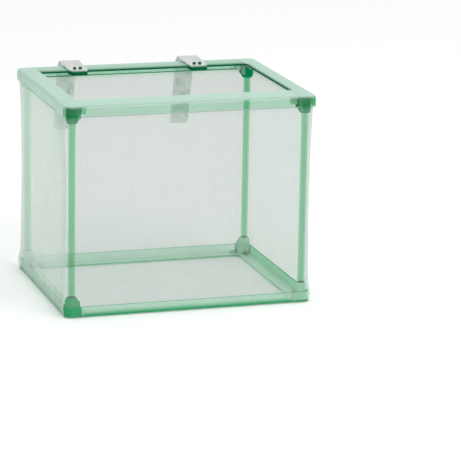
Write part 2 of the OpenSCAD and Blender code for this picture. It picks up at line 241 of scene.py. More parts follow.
def clear_styrene(name, plastic, deep_hex, milk_hex, depth, grain, flow_mm, rim=0.0, core=1.0):
    """Clear tinted polystyrene, injection moulded: thin walls look pale and a
    little milky, and thick blocks and edges seen end on look deep green. Faint
    flow lines run along the piece and its gloss is a little uneven. Styrene
    bends light by 1.58, which the coat's gloss keeps. The body bends it hardly
    at all, since light caught in a thin wall would run out of bounces and turn
    black. The rim paints shade on a rod's edges, for the dark that a clear rod
    shows there, and the core leaves a block less deep away from the post in it.
    The marks that it reads also carry painted light and shade on some blocks
    and flats."""
    material, tree = new_material(name)
    place = add_node(tree, "ShaderNodeTexCoord")
    deep, milk, glow = (
        add_node(tree, "ShaderNodeAttribute", {"attribute_name": mark})
        for mark in ("seen_deep", "frosted", "edge_glow"))
    deepest = (deep, "Fac")
    if core < 1.0:
        where = add_node(tree, "ShaderNodeSeparateXYZ", inputs={"Vector": (place, "Object")})
        aside = []
        for axis, middle in (("X", POST_X), ("Y", POST_Y)):
            offset = (where, axis)
            for operation, shift in (("ABSOLUTE", 0.0), ("SUBTRACT", middle), ("ABSOLUTE", 0.0)):
                offset = (add_node(
                    tree, "ShaderNodeMath", {"operation": operation}, {0: offset, 1: shift * MM}), 0)
            aside.append(offset)
        nearest = add_node(tree, "ShaderNodeMath", {"operation": "MINIMUM"}, {
            0: aside[0],
            1: aside[1],
        })
        core_share = add_node(tree, "ShaderNodeMapRange", SMOOTH, {
            "Value": (nearest, 0),
            "From Min": CORE_IN * MM,
            "From Max": CORE_OUT * MM,
            "To Min": 1.0,
            "To Max": core,
        })
        deepest = (add_node(
            tree, "ShaderNodeMath", TIMES, {0: deepest, 1: (core_share, "Result")}), 0)
    # The rim is painted shade: deeper green towards a rod's edges, for the dark that a clear rod
    # shows there
    if rim > 0.0:
        facing = add_node(tree, "ShaderNodeLayerWeight", inputs={"Blend": 0.5})
        painted_rim_shade = add_node(tree, "ShaderNodeMapRange", inputs={
            "Value": (facing, "Facing"),
            "From Min": 0.3,
            "From Max": 0.8,
            "To Max": rim,
        })
        deepest = (add_node(
            tree, "ShaderNodeMath", LARGER, {0: deepest, 1: (painted_rim_shade, "Result")}), 0)
    side = add_node(tree, "ShaderNodeNewGeometry")
    outside = add_node(tree, "ShaderNodeMath", MINUS, {0: 1.0, 1: (side, "Backfacing")})
    deep_share, milk_share = (
        add_node(tree, "ShaderNodeMath", TIMES, {0: (outside, 0), 1: mark})
        for mark in (deepest, (milk, "Fac")))
    milky = add_node(tree, "ShaderNodeMix", COLOURS, {
        0: (glow, "Fac"),
        6: to_linear(milk_hex),
        7: to_linear(plastic.glow),
    })
    pale = add_node(tree, "ShaderNodeMix", COLOURS, {
        0: (milk_share, 0),
        6: (1.0, 1.0, 1.0, 1.0),
        7: (milky, 2),
    })
    tone = add_node(tree, "ShaderNodeMix", COLOURS, {
        0: (deep_share, 0),
        6: (pale, 2),
        7: to_linear(deep_hex),
    })
    through = add_node(tree, "ShaderNodeMapRange", inputs={
        "Value": (deep_share, 0),
        "To Min": 1.0,
        "To Max": 0.1,
    })
    clear = add_node(tree, "ShaderNodeMath", {"operation": "SUBTRACT", "use_clamp": True}, {
        0: (through, "Result"),
        1: (milk_share, 0),
    })
    polished = add_node(tree, "ShaderNodeMath", MINUS, {0: (outside, 0), 1: (deep_share, 0)})
    coat = add_node(tree, "ShaderNodeMath", TIMES, {0: (polished, 0), 1: COAT})
    stretch = add_node(tree, "ShaderNodeMapping", inputs={
        "Vector": (place, "Object"),
        "Scale": [per_mm(size) for size in flow_mm],
    })
    flow = add_node(tree, "ShaderNodeTexNoise", inputs={
        "Vector": (stretch, "Vector"),
        "Scale": 1.0,
        "Detail": 4.0,
        "Roughness": 0.5,
    })
    handling = add_node(tree, "ShaderNodeTexNoise", inputs={
        "Vector": (place, "Object"),
        "Scale": per_mm(grain),
        "Detail": 6.0,
        "Roughness": 0.6,
    })
    gloss = add_node(tree, "ShaderNodeMapRange", inputs={
        "Value": (handling, "Fac"),
        "From Min": 0.3,
        "From Max": 0.75,
        "To Min": plastic.roughness * 0.7,
        "To Max": plastic.roughness * 1.6,
    })
    relief = add_node(tree, "ShaderNodeBump", inputs={
        "Strength": 0.35,
        "Distance": 0.05 * MM,
        "Height": (flow, "Fac"),
    })
    surface = add_node(tree, "ShaderNodeBsdfPrincipled", inputs={
        "Base Color": (tone, 2),
        "Metallic": 0.0,
        "IOR": 1.01,
        "Transmission Weight": (clear, 0),
        "Roughness": (gloss, "Result"),
        "Coat Weight": (coat, 0),
        "Coat IOR": 1.58,
        "Coat Roughness": 0.12,
        "Normal": (relief, "Normal"),
    })
    body = add_node(tree, "ShaderNodeVolumeAbsorption", inputs={
        "Color": to_linear(plastic.tint),
        "Density": depth,
    })
    add_node(tree, "ShaderNodeOutputMaterial", inputs={
        "Surface": (surface, "BSDF"),
        "Volume": (body, "Volume"),
    })
    return material


def nylon_gauze(name, net, share, low_share):
    """Fine white nylon gauze, woven: see-through, and greyer where two layers
    lie behind each other. The real mesh is about 0.8 mm, too fine for the
    picture, so it is drawn coarser and with a soft edge. Behind the skirts and
    on the bottom frame it hides less. Under the back and the right rail it is
    green from the light that their edges spill on it."""
    material, tree = new_material(name)
    flat = add_node(tree, "ShaderNodeUVMap", {"uv_map": "flat"})
    axes = add_node(tree, "ShaderNodeSeparateXYZ", inputs={"Vector": (flat, "UV")})
    threads = []
    for axis in ("X", "Y"):
        count = add_node(tree, "ShaderNodeMath", TIMES, {0: (axes, axis), 1: per_mm(net.pitch)})
        near = add_node(tree, "ShaderNodeMath", {"operation": "PINGPONG"}, {0: (count, 0), 1: 0.5})
        threads.append(add_node(tree, "ShaderNodeMapRange", SMOOTH, {
            "Value": (near, 0),
            "From Min": THREAD_SHARE * 0.3,
            "From Max": THREAD_SHARE,
            "To Min": 1.0,
            "To Max": 0.0,
        }))
    weave = add_node(tree, "ShaderNodeMath", LARGER, {
        0: (threads[0], "Result"),
        1: (threads[1], "Result"),
    })
    cover = add_node(tree, "ShaderNodeMapRange", inputs={
        "Value": (weave, 0),
        "To Min": net.hole_cover * share,
        "To Max": net.thread_cover * share,
    })
    pull = add_node(tree, "ShaderNodeTexNoise", inputs={
        "Vector": (flat, "UV"),
        "Scale": per_mm(26.3),
        "Detail": 3.0,
    })
    uneven = add_node(tree, "ShaderNodeMapRange", inputs={
        "Value": (pull, "Fac"),
        "From Min": 0.25,
        "From Max": 0.75,
        "To Min": -0.03,
        "To Max": 0.03,
    })
    alpha = add_node(tree, "ShaderNodeMath", {"operation": "ADD"}, {
        0: (cover, "Result"),
        1: (uneven, "Result"),
    })
    for start, end, before, after in (
            (SKIRT_FOOT - 1.5, SKIRT_FOOT + 0.5, 1.0, COVER_BEHIND_SKIRT),
            (RAIL_TOP - 1.0, RAIL_TOP + 1.0, low_share, 1.0)):
        left = add_node(tree, "ShaderNodeMapRange", SMOOTH, {
            "Value": (axes, "Y"),
            "From Min": start * MM,
            "From Max": end * MM,
            "To Min": before,
            "To Max": after,
        })
        alpha = add_node(tree, "ShaderNodeMath", TIMES, {0: (alpha, 0), 1: (left, "Result")})
    place = add_node(tree, "ShaderNodeTexCoord")
    where = add_node(tree, "ShaderNodeSeparateXYZ", inputs={"Vector": (place, "Object")})
    reach = [
        (add_node(tree, "ShaderNodeMapRange", SMOOTH, {
            "Value": (where, axis),
            "From Min": start * MM,
            "From Max": end * MM,
        }), "Result")
        for axis, start, end in (
            ("X", NET_HALF_X - SPILL_W, NET_HALF_X - 1.0),
            ("Y", NET_HALF_Y - SPILL_W, NET_HALF_Y - 1.0),
            ("Z", SKIRT_FOOT - SPILL_W - 1.0, SKIRT_FOOT + 1.0))
    ]
    spill = (add_node(tree, "ShaderNodeMath", LARGER, {0: reach[0], 1: reach[1]}), 0)
    shares = []
    for part in (reach[2], SPILL):
        spill = (add_node(tree, "ShaderNodeMath", TIMES, {0: spill, 1: part}), 0)
        shares.append(spill)
    colour = add_node(tree, "ShaderNodeMix", COLOURS, {
        0: shares[0],
        6: to_linear(net.thread_colour),
        7: to_linear(net.spill_colour),
    })
    alpha = add_node(tree, "ShaderNodeMath", LARGER, {0: (alpha, 0), 1: shares[1]})
    relief = add_node(tree, "ShaderNodeBump", inputs={
        "Strength": 0.3,
        "Distance": 0.1 * MM,
        "Height": (weave, 0),
    })
    surface = add_node(tree, "ShaderNodeBsdfPrincipled", inputs={
        "Base Color": (colour, 2),
        "Metallic": 0.0,
        "IOR": 1.53,
        "Roughness": 0.7,
        "Specular IOR Level": 0.2,
        "Sheen Weight": 0.15,
        "Alpha": (alpha, 0),
        "Normal": (relief, "Normal"),
    })
    add_node(tree, "ShaderNodeOutputMaterial", inputs={"Surface": (surface, "BSDF")})
    return material


def nylon_thread(name, thread_hex):
    """Nylon monofilament: whitish, with a soft gloss that varies along it."""
    material, tree = new_material(name)
    place = add_node(tree, "ShaderNodeTexCoord")
    draw = add_node(tree, "ShaderNodeTexNoise", inputs={
        "Vector": (place, "Object"),
        "Scale": per_mm(6.67),
        "Detail": 2.0,
    })
    gloss = add_node(tree, "ShaderNodeMapRange", inputs={
        "Value": (draw, "Fac"),
        "To Min": 0.4,
        "To Max": 0.7,
    })
    surface = add_node(tree, "ShaderNodeBsdfPrincipled", inputs={
        "Base Color": to_linear(thread_hex),
        "Metallic": 0.0,
        "IOR": 1.53,
        "Roughness": (gloss, "Result"),
    })
    add_node(tree, "ShaderNodeOutputMaterial", inputs={"Surface": (surface, "BSDF")})
    return material


def fine_ribs(tree, strength, depth):
    """Ribs across a tape or a bead, 1 mm apart: their wave, and its relief."""
    flat = add_node(tree, "ShaderNodeUVMap", {"uv_map": "flat"})
    ribs = add_node(tree, "ShaderNodeTexWave", {"bands_direction": "X"}, {
        "Vector": (flat, "UV"),
        "Scale": WAVE_BAND * per_mm(0.982),
        "Distortion": 1.5,
        "Detail": 2.0,
    })
    relief = add_node(tree, "ShaderNodeBump", inputs={
        "Strength": strength,
        "Distance": depth * MM,
        "Height": (ribs, "Fac"),
    })
    return ribs, relief


def clear_elastic(name, milk_hex, cover):
    """Clear polyurethane elastic: a faintly milky film with fine ribs."""
    material, tree = new_material(name)
    ribs, relief = fine_ribs(tree, 0.4, 0.1)
    milk = add_node(tree, "ShaderNodeMapRange", inputs={
        "Value": (ribs, "Fac"),
        "To Min": cover * 0.7,
        "To Max": cover * 1.3,
    })
    surface = add_node(tree, "ShaderNodeBsdfPrincipled", inputs={
        "Base Color": to_linear(milk_hex),
        "Metallic": 0.0,
        "IOR": 1.5,
        "Roughness": 0.45,
        "Alpha": (milk, "Result"),
        "Normal": (relief, "Normal"),
    })
    add_node(tree, "ShaderNodeOutputMaterial", inputs={"Surface": (surface, "BSDF")})
    return material


def overlock_thread(name, thread_hex):
    """Overlocked stitching: close turns of dull white thread, with painted shade in the dips between
    them.
    """
    material, tree = new_material(name)
    turns, relief = fine_ribs(tree, 0.5, 0.15)
    # Darker in the dips between turns: painted shade
    colour = add_node(tree, "ShaderNodeMix", COLOURS, {
        0: (turns, "Fac"),
        6: tuple(0.82 * part for part in to_linear(thread_hex)),
        7: to_linear(thread_hex),
    })
    surface = add_node(tree, "ShaderNodeBsdfPrincipled", inputs={
        "Base Color": (colour, 2),
        "Metallic": 0.0,
        "IOR": 1.53,
        "Roughness": 0.85,
        "Specular IOR Level": 0.25,
        "Sheen Weight": 0.3,
        "Normal": (relief, "Normal"),
    })
    add_node(tree, "ShaderNodeOutputMaterial", inputs={"Surface": (surface, "BSDF")})
    return material


def brushed_steel(name, metal_hex, roughness):
    """Stainless strip, rolled and brushed lengthwise: grey and satin, with
    fine lines along it and small bright and dull patches from handling. The
    real lines are finer than 0.24 mm, which wouldn't show."""
    material, tree = new_material(name)
    place = add_node(tree, "ShaderNodeTexCoord")
    stretch = add_node(tree, "ShaderNodeMapping", inputs={
        "Vector": (place, "Object"),
        "Scale": [per_mm(size) for size in (0.238, 11.1, 11.1)],
    })
    brush = add_node(tree, "ShaderNodeTexNoise", inputs={
        "Vector": (stretch, "Vector"),
        "Scale": 1.0,
        "Detail": 5.0,
        "Roughness": 0.6,
    })
    patches = add_node(tree, "ShaderNodeTexNoise", inputs={
        "Vector": (place, "Object"),
        "Scale": per_mm(6.25),
        "Detail": 4.0,
    })
    lines = add_node(tree, "ShaderNodeMath", TIMES, {0: (brush, "Fac"), 1: (patches, "Fac")})
    satin = add_node(tree, "ShaderNodeMapRange", inputs={
        "Value": (lines, 0),
        "From Min": 0.1,
        "From Max": 0.45,
        "To Min": roughness * 0.7,
        "To Max": roughness * 1.5,
    })
    relief = add_node(tree, "ShaderNodeBump", inputs={
        "Strength": 0.4,
        "Distance": 0.02 * MM,
        "Height": (brush, "Fac"),
    })
    mottle = add_node(tree, "ShaderNodeMapRange", inputs={
        "Value": (patches, "Fac"),
        "From Min": 0.35,
        "From Max": 0.65,
    })
    tone = add_node(tree, "ShaderNodeMix", COLOURS, {
        0: (mottle, "Result"),
        6: tuple(0.85 * part for part in to_linear(metal_hex)),
        7: to_linear(metal_hex),
    })
    surface = add_node(tree, "ShaderNodeBsdfPrincipled", inputs={
        "Base Color": (tone, 2),
        "Metallic": 1.0,
        "Roughness": (satin, "Result"),
        "Anisotropic": 0.4,
        "Normal": (relief, "Normal"),
    })
    add_node(tree, "ShaderNodeOutputMaterial", inputs={"Surface": (surface, "BSDF")})
    return material


def paper_floor(name, paper_hex, shaded_hex):
    """Matt white background paper with a barely visible tooth. As in the
    photograph, it was whitened round the object only: through the net and
    the plastic it keeps the studio's light grey."""
    material, tree = new_material(name)
    path = add_node(tree, "ShaderNodeLightPath")
    behind = add_node(tree, "ShaderNodeMath", TIMES, {
        0: (path, "Is Camera Ray"),
        1: (path, "Transparent Depth"),
    })
    through = add_node(tree, "ShaderNodeMath", {"operation": "ADD", "use_clamp": True}, {
        0: (behind, 0),
        1: (path, "Is Transmission Ray"),
    })
    tone = add_node(tree, "ShaderNodeMix", COLOURS, {
        0: (through, 0),
        6: to_linear(paper_hex),
        7: to_linear(shaded_hex),
    })
    place = add_node(tree, "ShaderNodeTexCoord")
    tooth = add_node(tree, "ShaderNodeTexNoise", inputs={
        "Vector": (place, "Object"),
        "Scale": per_mm(1.11),
        "Detail": 3.0,
    })
    relief = add_node(tree, "ShaderNodeBump", inputs={
        "Strength": 0.1,
        "Distance": 0.05 * MM,
        "Height": (tooth, "Fac"),
    })
    surface = add_node(tree, "ShaderNodeBsdfPrincipled", inputs={
        "Base Color": (tone, 2),
        "Roughness": 0.9,
        "Specular IOR Level": 0.1,
        "Normal": (relief, "Normal"),
    })
    add_node(tree, "ShaderNodeOutputMaterial", inputs={"Surface": (surface, "BSDF")})
    return material


def make_piece(name, mesh, material, body, replaced=()):
    """Puts a finished mesh in the scene as a piece, which stands for the CAD
    nodes that it replaces."""
    piece = bpy.data.objects.new(name, mesh)
    bpy.context.scene.collection.objects.link(piece)
    mesh.materials.append(material)
    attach(piece, body)
    if replaced:
        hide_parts(*replaced)
    return piece


def on_outline(face):
    """Whether an upright face lies on the top frame's outline in plan."""
    reach = face.calc_center_median().dot(face.normal)
    outline = (
        (TOP_HALF_X - TOP_CORNER_R) * abs(face.normal.x)
        + (TOP_HALF_Y - TOP_CORNER_R) * abs(face.normal.y) + TOP_CORNER_R)
    return abs(face.normal.z) < 0.1 and reach > (outline - ON_OUTLINE) * MM


def top_inset(middle):
    """How far a point in mm lies inside the top frame's outline."""
    return min(TOP_HALF_X - abs(middle.x), TOP_HALF_Y - abs(middle.y))


def bottom_inset(middle):
    """How far it lies inside the bottom frame's outline."""
    return min(BOTTOM_HALF_X - abs(middle.x), BOTTOM_HALF_Y - abs(middle.y))


def in_block(node_name, middle):
    """Whether a face, by its middle in mm, belongs to a corner's square block,
    to the pad beside it or, at the bottom, to the walls fused with it."""
    across, along = abs(middle.x), abs(middle.y)
    if "top_corner" in node_name:
        inner = top_inset(middle) > EDGE_T and middle.z < UNDER_FLATS
        return inner and along > BLOCK_Y and (across > BLOCK_X or middle.x > 0.0)
    if "bottom_corner" in node_name:
        return middle.z > BOTTOM_FLAT_TOP + 0.1 and across > BLOCK_X and along > BLOCK_Y
    return False


def block_look(node_name, middle):
    """How deep and how milky a block's face looks, or the pad's beside it."""
    if "top" in node_name and abs(middle.x) < BLOCK_X:
        return PAD_LOOK
    return PAINTED_BLOCK_SHADING.get(node_name, FULL_BLOCK)


def seen_deep(node_name, face):
    """How deep into the plastic the eye looks through a face: 0 for the thin
    walls, and up to 1 for blocks, lugs, pegs and edges seen end on. Some
    corners' blocks and a strip of the back and the right flat carry painted
    light and shade here too."""
    middle = face.calc_center_median() / MM
    if min(abs(middle.z - SKIRT_FOOT), abs(middle.z - BOTTOM_WALL_TOP)) < ON_PLANE:
        return 1.0
    if "top_rail" in node_name and on_outline(face) and middle.z < SKIRT_FOOT + FOOT_STRIP:
        return FOOT_DEEP
    if "bottom" in node_name and middle.z < BOTTOM_FLAT_TOP:
        return 1.0 if bottom_inset(middle) < 0.8 else 0.0
    # Blocks of some corners are drawn paler or deeper than alike ones: painted light and shade
    if in_block(node_name, middle):
        return block_look(node_name, middle)[0]
    # Painted light: the edge's green on a strip of the back and the right flat
    if node_name in PAINTED_EDGE_LIGHT_STRIPS and face.normal.z > 0.9 and abs(middle.z - TOP_Z) < ON_PLANE:
        axis, limit, share = PAINTED_EDGE_LIGHT_STRIPS[node_name]
        return share if middle[axis] < limit else 0.0
    spans = sorted(
        max(vertex.co[axis] for vertex in face.verts)
        - min(vertex.co[axis] for vertex in face.verts) for axis in range(3))
    if "rail" in node_name and spans[1] < EDGE_T * MM and spans[2] > EDGE_LENGTH * MM:
        return 1.0
    if node_name == "top_rail_back":
        on_lug = middle.y < LUG_ROOT_Y or middle.z < UNDER_FLATS and middle.y < LUG_REACH_Y
        return 1.0 if on_lug or middle.z > TOP_Z + 0.02 else 0.0
    return 0.0


def frosted(node_name, face):
    """How milky a face is: the top frame's flats hide most of what is under
    them, and the bottom walls are a little cloudy. Some corners' blocks are
    drawn milkier and so paler, as painted light."""
    middle = face.calc_center_median() / MM
    faces_up = face.normal.z > 0.9
    # Some corners' blocks are drawn milkier and so paler: painted light
    if in_block(node_name, middle):
        return block_look(node_name, middle)[1]
    if "top" in node_name:
        inside = top_inset(middle) > EDGE_T
        if "corner" in node_name and middle.z < UNDER_FLATS and inside:
            return TONGUE_MILK
        if abs(face.normal.x) > 0.9 and abs(middle.x) > TOP_HALF_X - ON_OUTLINE:
            return SIDE_MILK
        return TOP_MILK if faces_up and abs(middle.z - TOP_Z) < ON_PLANE else 0.0
    if "bottom" in node_name:
        on_flat = faces_up and abs(middle.z - BOTTOM_FLAT_TOP) < ON_PLANE
        upright = abs(face.normal.z) < 0.1 and middle.z > BOTTOM_FLAT_TOP
        reach = max(abs(middle.x) - BOTTOM_HALF_X, abs(middle.y) - BOTTOM_HALF_Y)
        return BOTTOM_MILK if on_flat or upright and reach > -ON_OUTLINE else 0.0
    return 0.0


def foot_shade(node_name, face, place):
    """How deep the long bottom rails' outer walls look towards their foot,
    where light from the flat runs into them."""
    if "bottom_rail" not in node_name or abs(face.normal.y) < 0.9:
        return 0.0
    if face.calc_center_median().dot(face.normal) < (BOTTOM_HALF_Y - ON_OUTLINE) * MM:
        return 0.0
    drop = (SHADE_TOP - place.z / MM) / (SHADE_TOP - BOTTOM_FLAT_TOP)
    return SHADE_DEEP * min(max(drop, 0.0), 1.0)


def edge_glow(node_name, face, place):
    """Light from the dark inner edge that runs back into the flat: seen on the
    back and the right rail, whose inner edges face the eye of a user."""
    if face.normal.z < 0.9 or not TOP_Z - 0.5 <= place.z / MM <= TOP_Z + 0.02:
        return 0.0
    if node_name == "top_rail_back":
        return BACK_GLOW * min(max((TOP_HALF_Y - place.y / MM) / BACK_FLAT, 0.0), 1.0)
    if node_name == "top_rail_right":
        return SIDE_GLOW * min(max((TOP_HALF_X - place.x / MM) / SIDE_FLAT, 0.0), 1.0)
    return 0.0


def cut_for_marks(shape, node_name):
    """Cuts a node's faces where one mark ends and the next begins."""
    cuts = [PAINTED_EDGE_LIGHT_STRIPS[node_name][:2]] if node_name in PAINTED_EDGE_LIGHT_STRIPS else []
    if "bottom" in node_name:
        cuts += [(2, BOTTOM_FLAT_TOP), (2, SHADE_TOP)]
    if "bottom_corner" in node_name:
        cuts += [(0, BLOCK_X), (0, -BLOCK_X), (1, BLOCK_Y), (1, -BLOCK_Y)]
    if "top_rail" in node_name:
        cuts.append((2, SKIRT_FOOT + FOOT_STRIP))
    for axis, limit in cuts:
        normal = [float(axis == i) for i in range(3)]
        bmesh.ops.bisect_plane(
            shape, geom=[*shape.verts, *shape.edges, *shape.faces], dist=MERGE_DISTANCE,
            plane_co=[limit * MM * part for part in normal], plane_no=normal)
    shape.normal_update()


def sharp_edges(shape):
    """Edges that the mould leaves sharp."""
    return [
        edge for edge in shape.edges
        if len(edge.link_faces) == 2 and edge.calc_face_angle(0) > SHARP_ANGLE
    ]


def fix_order(parts, place):
    """Sorts vertices or faces by their place, because bevels leave them in an
    order that changes from run to run."""
    for index, part in enumerate(sorted(parts, key=lambda part: tuple(place(part)))):
        part.index = index
    parts.sort()


def softened(node_name, edge_r, round_over=0.0):
    """Copy of a CAD node's mesh with its sharp edges rounded, and drawn in by
    a hair so that it stands clear of what it touches. The outer edge of the
    top frame can be rounded over more. Its faces carry the marks that the
    plastic's colour is made from."""
    mesh = bpy.data.meshes.new(node_name + "_mesh")
    shape = bmesh.new()
    shape.from_mesh(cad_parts[node_name].data)
    bmesh.ops.remove_doubles(shape, verts=shape.verts, dist=MERGE_DISTANCE)
    bmesh.ops.dissolve_limit(
        shape, angle_limit=FLAT_ANGLE, verts=shape.verts, edges=shape.edges)
    cut_for_marks(shape, node_name)
    deep = shape.faces.layers.float.new("face_deep")
    milk = shape.faces.layers.float.new("frosted")
    for face in shape.faces:
        face[deep] = seen_deep(node_name, face)
        face[milk] = frosted(node_name, face)
    outer = [
        edge for edge in sharp_edges(shape)
        if any(face.normal.z > 0.9 for face in edge.link_faces)
        and any(on_outline(face) for face in edge.link_faces)
    ]
    if round_over > 0.0 and outer:
        bmesh.ops.bevel(
            shape, geom=outer, offset=round_over * MM, offset_type="OFFSET", segments=6,
            profile=0.5, affect="EDGES", clamp_overlap=False)
        shape.normal_update()
        for face in shape.faces:
            slants = 0.15 < face.normal.z < 0.97
            if slants and face.calc_center_median().z > (TOP_Z - 2.5) * MM:
                face[deep] = ROUND_DEEP
    bmesh.ops.bevel(
        shape, geom=sharp_edges(shape), offset=edge_r * MM, offset_type="OFFSET", segments=2,
        profile=0.5, affect="EDGES", clamp_overlap=True)
    shape.normal_update()
    depth = shape.loops.layers.float.new("seen_deep")
    glow = shape.loops.layers.float.new("edge_glow")
    for face in shape.faces:
        for loop in face.loops:
            loop[depth] = max(face[deep], foot_shade(node_name, face, loop.vert.co))
            loop[glow] = edge_glow(node_name, face, loop.vert.co)
    shape.faces.layers.float.remove(shape.faces.layers.float["face_deep"])
    for vertex in shape.verts:
        vertex.co -= vertex.normal * TOUCH_GAP
    fix_order(shape.verts, lambda vertex: vertex.co)
    fix_order(shape.faces, lambda face: face.calc_center_median())
    shape.to_mesh(mesh)
    shape.free()
    mesh.shade_smooth()
    mesh.set_sharp_from_angle(angle=SHARP_ANGLE)
    return mesh


def dress(node, ending, material, body, edge_r, round_over=0.0):
    """Puts a CAD node's softened copy in the scene. Its large faces keep their
    own normals, so that only the rounded edges shade as curved."""
    mesh = softened(node, edge_r, round_over)
    piece = make_piece(node + ending, mesh, material, body, [node])
    weigh = piece.modifiers.new("flat faces", "WEIGHTED_NORMAL")
    weigh.mode = "FACE_AREA_WITH_ANGLE"
    weigh.weight = 100
    weigh.keep_sharp = True


def net_loop(step, turn_steps):
    """Points round the net in plan, as (x, y, outward x, outward y, arc
    length), in mm, counter-clockwise from the middle of the back wall. With
    them come their arc lengths in metres, and the whole length last."""
    inner_x = NET_HALF_X - NET_CORNER_R
    inner_y = NET_HALF_Y - NET_CORNER_R
    stretches = (
        ((0, NET_HALF_Y), (-inner_x, NET_HALF_Y), (0, 1)),
        ((-NET_HALF_X, inner_y), (-NET_HALF_X, -inner_y), (-1, 0)),
        ((-inner_x, -NET_HALF_Y), (inner_x, -NET_HALF_Y), (0, -1)),
        ((NET_HALF_X, -inner_y), (NET_HALF_X, inner_y), (1, 0)),
        ((inner_x, NET_HALF_Y), (0, NET_HALF_Y), (0, 1)),
    )
    centres = ((-inner_x, inner_y), (-inner_x, -inner_y), (inner_x, -inner_y), (inner_x, inner_y))
    points = []
    arc = 0.0
    for index, (start, end, out) in enumerate(stretches):
        start, end = Vector(start), Vector(end)
        length = (end - start).length
        count = ceil(length / step)
        for i in range(count):
            at = start.lerp(end, i / count)
            points.append((at.x, at.y, out[0], out[1], arc + length * i / count))
        arc += length
        if index < len(centres):
            first = pi / 2 + index * pi / 2
            centre = Vector(centres[index])
            for i in range(turn_steps):
                turn = first + pi / 2 * i / turn_steps
                out_x, out_y = cos(turn), sin(turn)
                points.append((
                    centre.x + NET_CORNER_R * out_x,
                    centre.y + NET_CORNER_R * out_y,
                    out_x, out_y, arc + NET_CORNER_R * pi / 2 * i / turn_steps,
                ))
            arc += NET_CORNER_R * pi / 2
    return points, [point[4] * MM for point in points] + [arc * MM]


def net_ease(x, y, z, arc, settings):
    """How far the net stands out from its CAD line, in mm: pulled in at the
    waist, full at the bottom corners, with small slanting folds low down."""
    rise = min(max((z - RAIL_TOP) / (SKIRT_FOOT - RAIL_TOP), 0.0), 1.0)
    corner_x = NET_HALF_X - abs(x)
    corner_y = NET_HALF_Y - abs(y)
    along = max(abs(x) / NET_HALF_X if corner_y < 1 else 0.0,
                abs(y) / NET_HALF_Y if corner_x < 1 else 0.0)
    if corner_x < NET_CORNER_R and corner_y < NET_CORNER_R:
        along = 1.0
    middle = 1.0 - along ** 3
    depth = settings.waist_corner + (settings.waist_middle - settings.waist_corner) * middle
    ease = -depth * sin(pi * rise) ** 0.8
    near_corner = exp(-((corner_x + corner_y) / PUFF_W) ** 2)
    low = exp(-((z - PUFF_Z) / PUFF_H) ** 2)
    ease += settings.corner_puff * near_corner * low
    # Slanting folds about 9 mm apart, and slow ripples about 30 mm apart
    slack = exp(-((z - FOLDS_Z) / FOLDS_H) ** 2)
    fold = noise.noise(Vector((arc * 0.11 + z * 0.09, z * 0.05, 3.7)))
    ripple = noise.noise(Vector((arc * 0.03, z * 0.035, 8.1)))
    ease += settings.folds * slack * fold * (0.35 + 0.65 * (1.0 - near_corner))
    ease += 0.35 * settings.folds * ripple * sin(pi * rise)
    if z <= RAIL_TOP:
        ease = max(ease, 0.0)
    if z >= SKIRT_FOOT:
        ease = min(max(ease, -HEM_PLAY), 2 * HEM_PLAY)
    return ease


def net_line(point, z, settings):
    """A point of the loop at one height, eased, in metres."""
    x, y, out_x, out_y, arc = point
    ease = net_ease(x, y, z, arc, settings)
    return Vector((x + out_x * ease, y + out_y * ease, z)) * MM


def ring_faces(shape, rows, flat_rows, perimeter):
    """Faces between closed rows of vertices, with their flat coordinates."""
    uv = shape.loops.layers.uv.new("flat")
    for low, high, v_low, v_high in zip(rows, rows[1:], flat_rows, flat_rows[1:]):
        count = len(low)
        for i in range(count):
            j = (i + 1) % count
            face = shape.faces.new((low[i], low[j], high[j], high[i]))
            u_i, u_j = perimeter[i], perimeter[i + 1]
            for loop, place in zip(face.loops, (
                    (u_i, v_low), (u_j, v_low), (u_j, v_high), (u_i, v_high))):
                loop[uv].uv = place


def finish_mesh(shape, name):
    """Smooth mesh from a bmesh."""
    shape.normal_update()
    mesh = bpy.data.meshes.new(name)
    shape.to_mesh(mesh)
    shape.free()
    mesh.shade_smooth()
    return mesh


def tube_mesh(name, loop, arcs, height, sections):
    """Closed tube round the net. It has one section for each point of the loop,
    a list of (outward, z) in mm, and its height is that of its flat pattern."""
    shape = bmesh.new()
    rows = []
    for corner in zip(*sections):
        rows.append([
            shape.verts.new(Vector((x + out_x * push, y + out_y * push, z)) * MM)
            for (x, y, out_x, out_y, _), (push, z) in zip(loop, corner)
        ])
    flat_rows = [height * MM * i / len(rows) for i in range(len(rows) + 1)]
    ring_faces(shape, [*rows, rows[0]], flat_rows, arcs)
    bmesh.ops.recalc_face_normals(shape, faces=shape.faces)
    return finish_mesh(shape, name)


def hex_value(name, thing, default):
    """Setting for a colour."""
    return bpy.props.StringProperty(
        name=name, description=f"sRGB hex colour of {thing}", default=default)


def factor(name, thing, default):
    """Setting for a share from 0 to 1."""
    return bpy.props.FloatProperty(
        name=name, description=thing, default=default, min=0.0, max=1.0, subtype="FACTOR")


def amount(name, thing, default, least=0.0, most=1000.0):
    """Setting for a size in mm, or for any other amount."""
    return bpy.props.FloatProperty(
        name=name, description=thing, default=default, min=least, max=most)


def angle(name, thing, degrees):
    """Setting for an angle."""
    return bpy.props.FloatProperty(
        name=name, description=thing, default=radians(degrees), subtype="ANGLE")


